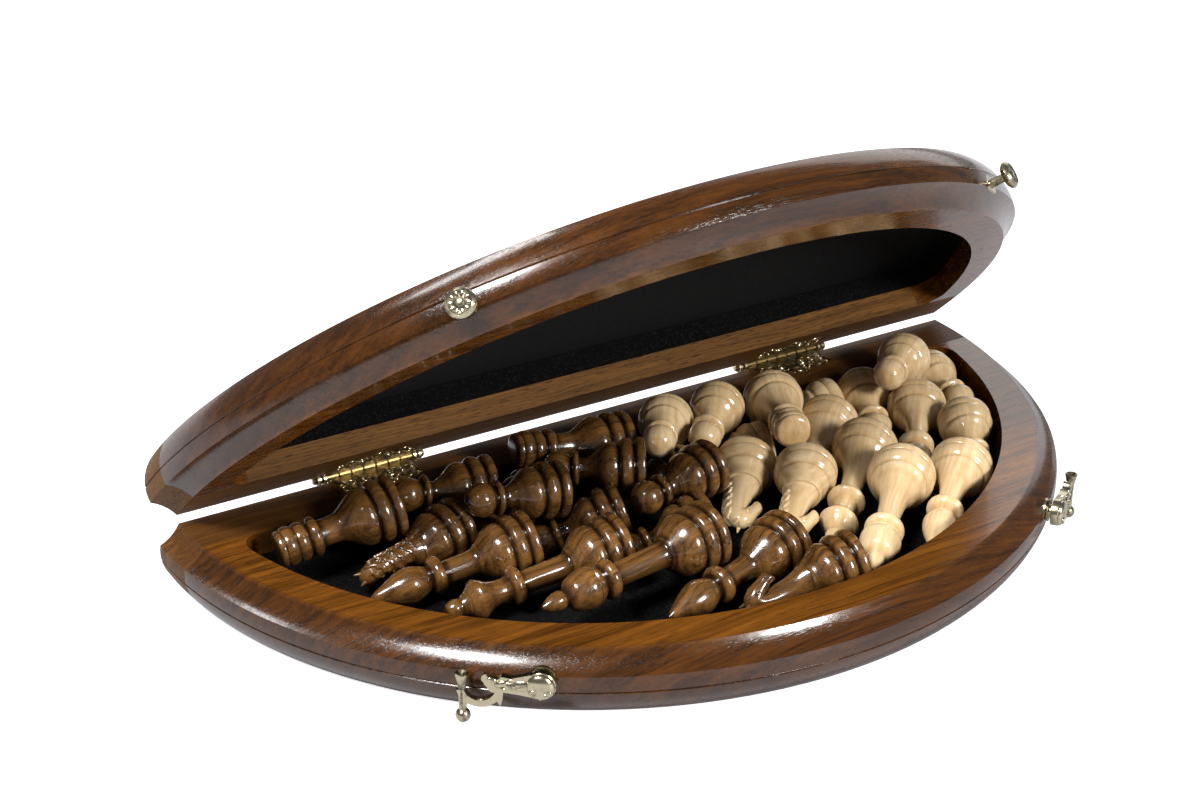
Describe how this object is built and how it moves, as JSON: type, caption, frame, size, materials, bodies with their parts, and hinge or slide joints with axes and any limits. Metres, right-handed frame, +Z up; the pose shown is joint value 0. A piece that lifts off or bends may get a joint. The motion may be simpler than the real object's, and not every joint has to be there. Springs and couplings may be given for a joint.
{
  "type": "folding chess box",
  "caption": "Round folding chess box: two hinged half-discs with moulded rims, hook latches, a board outside and lined wells holding the men.",
  "frame": {"origin": "middle of the lower half's flat underside, halfway between the spine and the front of the rim", "axes": "+X along the spine to the right, -Y towards the curved front with the latches, +Z up from the board face to the well"},
  "size_m": [0.4508, 0.2453, 0.198],
  "materials": {
    "rim_wood": "gloss",
    "rail_wood": "gloss",
    "panel": "matte",
    "walnut_veneer": "gloss",
    "maple_veneer": "gloss",
    "velvet": "matte",
    "antique_brass": "satin",
    "polished_brass": "polished",
    "dark_men": "gloss",
    "light_men": "satin"
  },
  "bodies": {
    "base": {"base_rim_left": "rim_wood", "base_rim_front": "rim_wood", "base_rim_right": "rim_wood", "base_spine_rail": "rail_wood", "base_panel": "panel", "base_board_border": "walnut_veneer", "base_light_squares": "maple_veneer", "base_dark_squares": "walnut_veneer", "base_velvet": "velvet", "left_hinge_base_leaf": "antique_brass", "left_hinge_pin": "antique_brass", "right_hinge_base_leaf": "antique_brass", "right_hinge_pin": "antique_brass", "base_hinge_screws": "antique_brass", "left_hook_plate": "polished_brass", "left_hook_pivot": "polished_brass", "right_hook_plate": "polished_brass", "right_hook_pivot": "polished_brass"},
    "lid": {"lid_rim_left": "rim_wood", "lid_rim_front": "rim_wood", "lid_rim_right": "rim_wood", "lid_spine_rail": "rail_wood", "lid_panel": "panel", "lid_board_border": "walnut_veneer", "lid_light_squares": "maple_veneer", "lid_dark_squares": "walnut_veneer", "lid_velvet": "velvet", "left_hinge_lid_leaf": "antique_brass", "right_hinge_lid_leaf": "antique_brass", "lid_hinge_screws": "antique_brass", "left_stud_washer": "polished_brass", "left_stud": "polished_brass", "right_stud_washer": "polished_brass", "right_stud": "polished_brass"},
    "left_hook": {"left_hook": "polished_brass"},
    "right_hook": {"right_hook": "polished_brass"},
    "men": {"dark_pawns": "dark_men", "dark_rooks": "dark_men", "dark_rear_knight": "dark_men", "dark_bishops": "dark_men", "dark_king": "dark_men", "light_pawns": "light_men", "light_rooks": "light_men", "light_knights": "light_men", "light_bishops": "light_men", "light_queen": "light_men", "light_king": "light_men"},
    "front_men": {"dark_front_knight": "dark_men", "dark_queen": "dark_men"}
  },
  "joints": [
    {"name": "lid_hinge", "type": "hinge", "parent": "base", "child": "lid", "pos_m": [0, 0.1173, 0.02815], "axis": [-1, 0, 0], "range_deg": [-41.67, 138.33]},
    {"name": "left_hook_swing", "type": "hinge", "parent": "base", "child": "left_hook", "pos_m": [-0.13425, -0.07228, 0.019], "axis": [0.5878, 0.809, 0], "range_deg": [0, 73]},
    {"name": "right_hook_swing", "type": "hinge", "parent": "base", "child": "right_hook", "pos_m": [0.13425, -0.07228, 0.019], "axis": [0.5878, -0.809, 0], "range_deg": [0, 73]},
    {"name": "men_lift", "type": "slide", "parent": "base", "child": "men", "axis": [0, 0, 1], "range_m": [0, 0.04]},
    {"name": "front_men_lift", "type": "slide", "parent": "base", "child": "front_men", "axis": [0, 0, 1], "range_m": [0, 0.04]}
  ]
}
